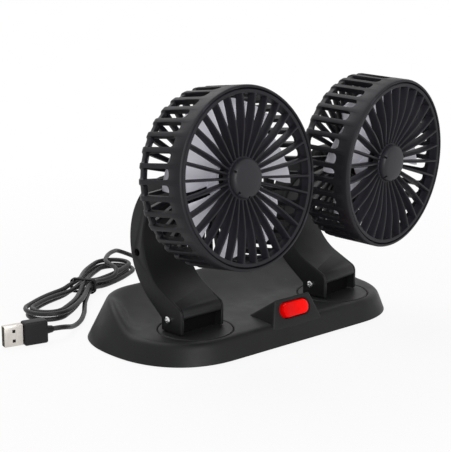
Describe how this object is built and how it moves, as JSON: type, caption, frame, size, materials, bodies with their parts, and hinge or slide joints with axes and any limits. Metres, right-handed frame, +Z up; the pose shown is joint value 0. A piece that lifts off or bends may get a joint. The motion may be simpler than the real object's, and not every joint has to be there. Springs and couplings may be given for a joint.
{
  "type": "dual head desk fan",
  "caption": "Corded desk fan with two caged drum heads, each tilting on a C arm that swivels on a low base with a rocker switch.",
  "frame": {"origin": "middle of the base at the level of the feet's undersides, on the surface that the fan stands on, 0.6 mm under the mount plate_underside", "axes": "+X along the base's length, -Y the side of the rocker switch that the heads blow towards, +Z up"},
  "size_m": [0.24, 0.2331, 0.1507],
  "materials": {
    "black_satin": "satin moulded",
    "black_matt": "matt",
    "blade_lilac": "satin, pale lilac grey",
    "rocker_red": "gloss, translucent red",
    "foot_rubber": "matt",
    "steel": "bright plated",
    "cord_black": "satin flexible sleeve",
    "plug_white": "smooth moulded"
  },
  "bodies": {
    "base": {"base_shell": "black_satin", "bottom_plate": "black_matt", "cord_gland": "black_matt", "cord_lead": "cord_black", "cord_hank": "cord_black", "cord_tail": "cord_black", "hank_tie": "black_matt", "plug_body": "black_satin", "plug_shell": "steel", "plug_tongue": "plug_white", "switch_body": "black_matt", "foot_left_front": "foot_rubber", "foot_left_back": "foot_rubber", "foot_right_front": "foot_rubber", "foot_right_back": "foot_rubber", "bottom_screw_left_front": "steel", "bottom_screw_left_back": "steel", "bottom_screw_right_front": "steel", "bottom_screw_right_back": "steel"},
    "rocker": {"rocker_switch": "rocker_red"},
    "turntable_left": {"turntable_left": "black_satin", "turntable_retainer_left": "steel", "arm_left": "black_satin", "arm_screw_left": "black_matt", "tilt_rivet_left": "black_matt", "mount_screw_left_left": "steel", "mount_screw_left_right": "steel"},
    "head_left": {"cage_left": "black_satin", "front_grille_left": "black_satin", "hub_cap_left": "black_satin", "head_bracket_left": "black_satin", "motor_left": "black_matt"},
    "rotor_left": {"rotor_shaft_left": "steel", "rotor_hub_left": "black_matt", "rotor_blades_left": "blade_lilac"},
    "turntable_right": {"turntable_right": "black_satin", "turntable_retainer_right": "steel", "arm_right": "black_satin", "arm_screw_right": "black_matt", "tilt_rivet_right": "black_matt", "mount_screw_right_left": "steel", "mount_screw_right_right": "steel"},
    "head_right": {"cage_right": "black_satin", "front_grille_right": "black_satin", "hub_cap_right": "black_satin", "head_bracket_right": "black_satin", "motor_right": "black_matt"},
    "rotor_right": {"rotor_shaft_right": "steel", "rotor_hub_right": "black_matt", "rotor_blades_right": "blade_lilac"}
  },
  "joints": [
    {"name": "swivel_left", "type": "hinge", "parent": "base", "child": "turntable_left", "pos_m": [-0.054, -0.0225, 0.0125], "axis": [0, 0, 1], "range_deg": [-62, 5]},
    {"name": "tilt_left", "type": "hinge", "parent": "turntable_left", "child": "head_left", "pos_m": [-0.05399, -0.0227, 0.0977], "axis": [-0.9994, -0.0349, 0], "range_deg": [-37.2, 32.8]},
    {"name": "spin_left", "type": "hinge", "parent": "head_left", "child": "rotor_left", "pos_m": [-0.05399, -0.0227, 0.0977], "axis": [0.0346, -0.9915, 0.1253], "continuous": true},
    {"name": "swivel_right", "type": "hinge", "parent": "base", "child": "turntable_right", "pos_m": [0.054, -0.0225, 0.0125], "axis": [0, 0, 1], "range_deg": [-15, 52]},
    {"name": "tilt_right", "type": "hinge", "parent": "turntable_right", "child": "head_right", "pos_m": [0.05403, -0.0227, 0.0977], "axis": [-0.9903, -0.1392, 0], "range_deg": [-28, 42]},
    {"name": "spin_right", "type": "hinge", "parent": "head_right", "child": "rotor_right", "pos_m": [0.05403, -0.0227, 0.0977], "axis": [0.1391, -0.9897, -0.0349], "continuous": true},
    {"name": "rocker_press", "type": "hinge", "parent": "base", "child": "rocker", "pos_m": [0, -0.04382, 0.01792], "axis": [0, 0.3173, 0.9483], "range_deg": [-12, 0]}
  ]
}
